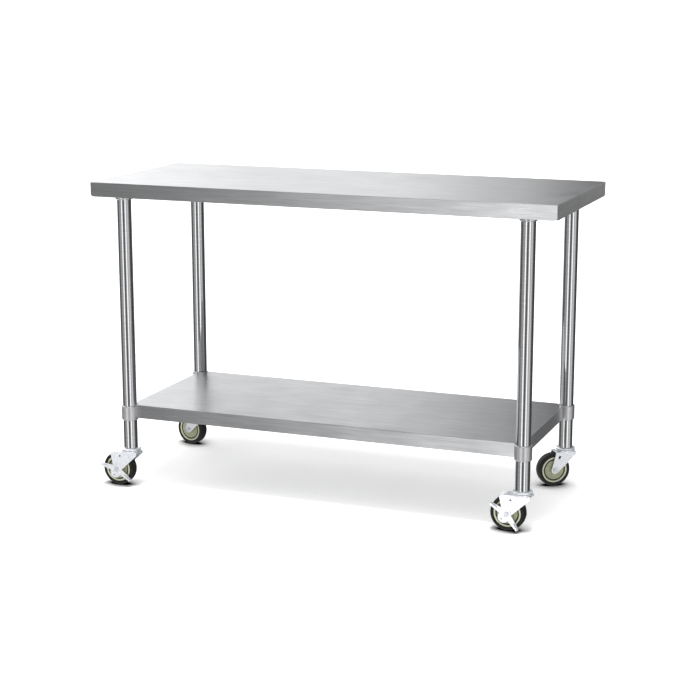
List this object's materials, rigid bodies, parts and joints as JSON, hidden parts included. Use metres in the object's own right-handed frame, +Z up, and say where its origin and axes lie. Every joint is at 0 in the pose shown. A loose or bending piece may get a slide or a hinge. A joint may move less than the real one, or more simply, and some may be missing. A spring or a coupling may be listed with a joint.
{
  "type": "kitchen island cart",
  "caption": "Stainless steel kitchen work table with a folded worktop, a lower shelf clamped to round tube legs, and swivel casters, braked at the front.",
  "frame": {"origin": "on the floor under the middle of the worktop", "axes": "+X along the table to the right, +Y to the back, +Z up; the braked casters are at the front"},
  "size_m": [1.5282, 0.61, 1.002],
  "materials": {
    "brushed_stainless": "sheet brushed along its length",
    "stainless_tube": "polished tube with a fine grain along it",
    "galvanised_steel": "dull galvanised",
    "cast_aluminium": "satin cast",
    "zinc_plate": "bright zinc on pressed steel",
    "screw_steel": "plain screw steel",
    "wheel_core": "olive moulded plastic",
    "tyre_rubber": "black moulded rubber",
    "plug_plastic": "black moulded plastic"
  },
  "bodies": {
    "frame": {"worktop": "brushed_stainless", "left_worktop_channel": "galvanised_steel", "right_worktop_channel": "galvanised_steel", "long_worktop_channel": "galvanised_steel", "undershelf": "brushed_stainless", "undershelf_channel": "galvanised_steel", "front_left_leg": "stainless_tube", "front_left_leg_socket": "cast_aluminium", "front_left_socket_screw": "screw_steel", "front_left_corner_clamp": "cast_aluminium", "front_left_clamp_screw": "screw_steel", "front_left_caster_stem": "zinc_plate", "front_left_stem_plug": "plug_plastic", "front_right_leg": "stainless_tube", "front_right_leg_socket": "cast_aluminium", "front_right_socket_screw": "screw_steel", "front_right_corner_clamp": "cast_aluminium", "front_right_clamp_screw": "screw_steel", "front_right_caster_stem": "zinc_plate", "front_right_stem_plug": "plug_plastic", "back_right_leg": "stainless_tube", "back_right_leg_socket": "cast_aluminium", "back_right_socket_screw": "screw_steel", "back_right_corner_clamp": "cast_aluminium", "back_right_clamp_screw": "screw_steel", "back_right_caster_stem": "zinc_plate", "back_right_stem_plug": "plug_plastic", "back_left_leg": "stainless_tube", "back_left_leg_socket": "cast_aluminium", "back_left_socket_screw": "screw_steel", "back_left_corner_clamp": "cast_aluminium", "back_left_clamp_screw": "screw_steel", "back_left_caster_stem": "zinc_plate", "back_left_stem_plug": "plug_plastic"},
    "front_left_caster": {"front_left_fork": "zinc_plate", "front_left_axle_bolt": "screw_steel", "front_left_axle_nut": "screw_steel"},
    "front_left_wheel": {"front_left_wheel_core": "wheel_core", "front_left_tyre": "tyre_rubber"},
    "front_left_pedal": {"front_left_brake_pedal": "zinc_plate"},
    "front_left_washer": {"front_left_friction_washer": "screw_steel"},
    "front_right_caster": {"front_right_fork": "zinc_plate", "front_right_axle_bolt": "screw_steel", "front_right_axle_nut": "screw_steel"},
    "front_right_wheel": {"front_right_wheel_core": "wheel_core", "front_right_tyre": "tyre_rubber"},
    "front_right_pedal": {"front_right_brake_pedal": "zinc_plate"},
    "front_right_washer": {"front_right_friction_washer": "screw_steel"},
    "back_right_caster": {"back_right_fork": "zinc_plate", "back_right_axle_bolt": "screw_steel", "back_right_axle_nut": "screw_steel"},
    "back_right_wheel": {"back_right_wheel_core": "wheel_core", "back_right_tyre": "tyre_rubber"},
    "back_left_caster": {"back_left_fork": "zinc_plate", "back_left_axle_bolt": "screw_steel", "back_left_axle_nut": "screw_steel"},
    "back_left_wheel": {"back_left_wheel_core": "wheel_core", "back_left_tyre": "tyre_rubber"}
  },
  "joints": [
    {"name": "front_left_swivel", "type": "hinge", "parent": "frame", "child": "front_left_caster", "pos_m": [-0.665, -0.262, 0.12773], "axis": [0, 0, 1], "continuous": true},
    {"name": "front_left_wheel_spin", "type": "hinge", "parent": "front_left_caster", "child": "front_left_wheel", "pos_m": [-0.707, -0.262, 0.05473], "axis": [0, 1, 0], "continuous": true},
    {"name": "front_left_pedal_rock", "type": "hinge", "parent": "front_left_caster", "child": "front_left_pedal", "pos_m": [-0.707, -0.262, 0.05473], "axis": [0, 1, 0], "range_deg": [0, 18]},
    {"name": "front_left_washer_press", "type": "slide", "parent": "front_left_caster", "child": "front_left_washer", "axis": [0, 1, 0], "range_m": [-0.0005, 0]},
    {"name": "front_right_swivel", "type": "hinge", "parent": "frame", "child": "front_right_caster", "pos_m": [0.665, -0.262, 0.12773], "axis": [0, 0, 1], "continuous": true},
    {"name": "front_right_wheel_spin", "type": "hinge", "parent": "front_right_caster", "child": "front_right_wheel", "pos_m": [0.623, -0.262, 0.05473], "axis": [0, 1, 0], "continuous": true},
    {"name": "front_right_pedal_rock", "type": "hinge", "parent": "front_right_caster", "child": "front_right_pedal", "pos_m": [0.623, -0.262, 0.05473], "axis": [0, 1, 0], "range_deg": [-18, 0]},
    {"name": "front_right_washer_press", "type": "slide", "parent": "front_right_caster", "child": "front_right_washer", "axis": [0, 1, 0], "range_m": [0, 0.0005]},
    {"name": "back_right_swivel", "type": "hinge", "parent": "frame", "child": "back_right_caster", "pos_m": [0.665, 0.262, 0.12773], "axis": [0, 0, 1], "continuous": true},
    {"name": "back_right_wheel_spin", "type": "hinge", "parent": "back_right_caster", "child": "back_right_wheel", "pos_m": [0.63102, 0.23731, 0.05473], "axis": [-0.5878, 0.809, 0], "continuous": true},
    {"name": "back_left_swivel", "type": "hinge", "parent": "frame", "child": "back_left_caster", "pos_m": [-0.665, 0.262, 0.12773], "axis": [0, 0, 1], "continuous": true},
    {"name": "back_left_wheel_spin", "type": "hinge", "parent": "back_left_caster", "child": "back_left_wheel", "pos_m": [-0.70608, 0.27073, 0.05473], "axis": [0.2079, 0.9781, 0], "continuous": true}
  ],
  "couplings": [
    {"joint": "front_left_washer_press", "follows": "front_left_pedal_rock", "m_per_rad": -0.0015884},
    {"joint": "front_right_washer_press", "follows": "front_right_pedal_rock", "m_per_rad": -0.0015884}
  ]
}
